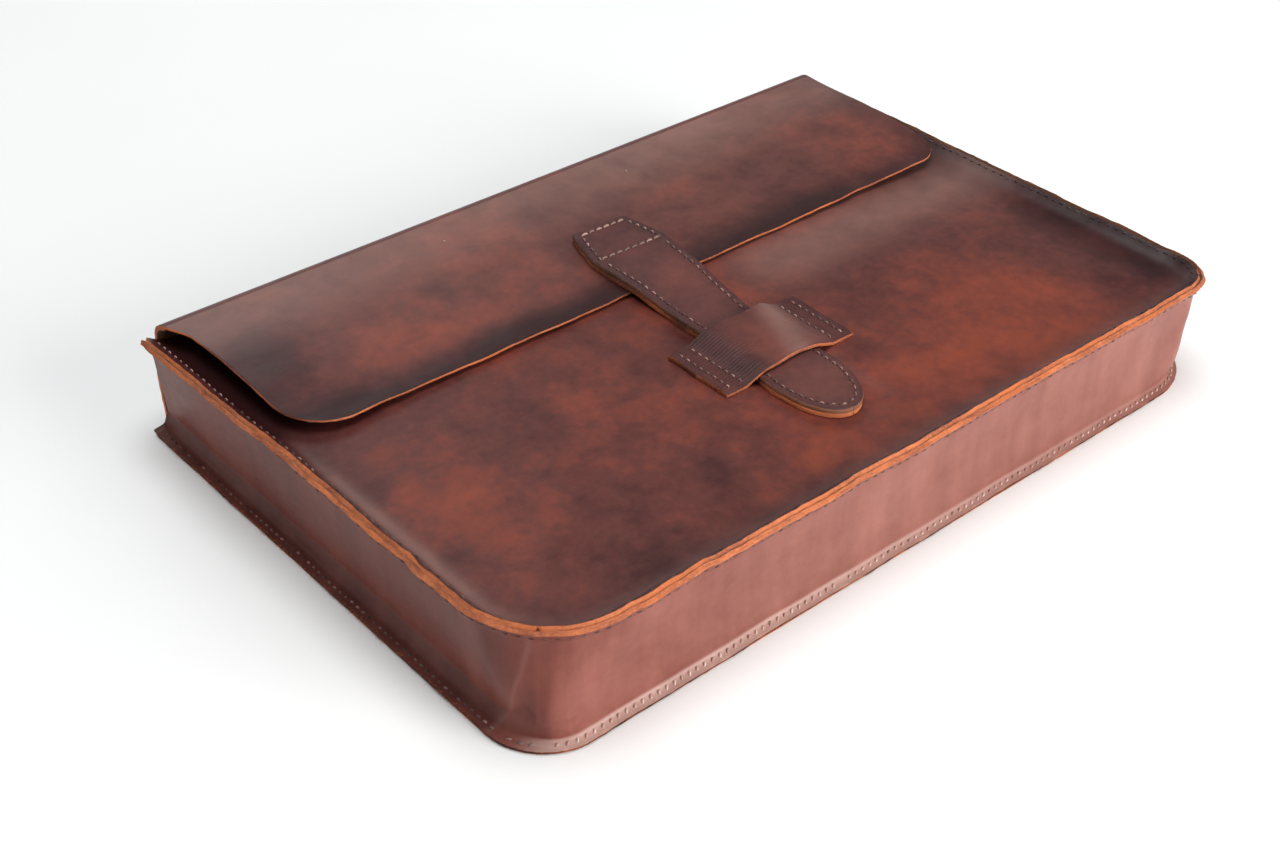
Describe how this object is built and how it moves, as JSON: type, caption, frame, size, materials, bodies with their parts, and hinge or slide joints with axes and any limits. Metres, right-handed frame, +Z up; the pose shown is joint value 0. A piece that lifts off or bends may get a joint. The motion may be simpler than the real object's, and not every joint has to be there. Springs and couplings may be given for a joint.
{
  "type": "leather portfolio case",
  "caption": "Slim stitched leather portfolio case with a side gusset, a fold-over flap, and a strap that tucks under a leather keeper.",
  "frame": {"origin": "centre of the base, on the surface that the case lies on with its front panel up", "axes": "+X along the width and the folds, +Y from the bottom seam to the spine, +Z up through the front panel"},
  "size_m": [0.362, 0.242, 0.0519],
  "materials": {
    "hide": "hand-dyed and burnished, darker towards its edges",
    "front_leather": "hand-dyed and burnished, mottled",
    "gusset_leather": "hand-dyed, satin",
    "strap_leather": "hand-dyed, burnished edges",
    "keeper_leather": "hand-dyed, cut edges left raw",
    "thread": "waxed linen thread"
  },
  "bodies": {
    "root": {"back_panel": "hide", "gusset": "gusset_leather", "front_panel": "front_leather", "keeper": "keeper_leather", "base_seam_thread": "thread", "front_seam_thread": "thread", "keeper_thread_left": "thread", "keeper_thread_right": "thread"},
    "spine": {"spine_panel": "hide"},
    "flap": {"flap_panel": "hide", "strap_anchor_face": "strap_leather", "strap_anchor_lining": "strap_leather", "strap_anchor_thread": "thread"},
    "strap": {"strap_tail_face": "strap_leather", "strap_tail_lining": "strap_leather", "strap_edge_thread": "thread"}
  },
  "joints": [
    {"name": "spine_fold", "type": "hinge", "parent": "root", "child": "spine", "pos_m": [0, 0.11924, 0.00176], "axis": [-1, 0, 0], "range_deg": [0, 90]},
    {"name": "flap_fold", "type": "hinge", "parent": "spine", "child": "flap", "pos_m": [0, 0.11866, 0.04766], "axis": [-1, 0, 0], "range_deg": [0, 86]},
    {"name": "strap_bend", "type": "hinge", "parent": "flap", "child": "strap", "pos_m": [0, 0.041, 0.05059], "axis": [1, 0, 0], "range_deg": [-75, 0]}
  ]
}
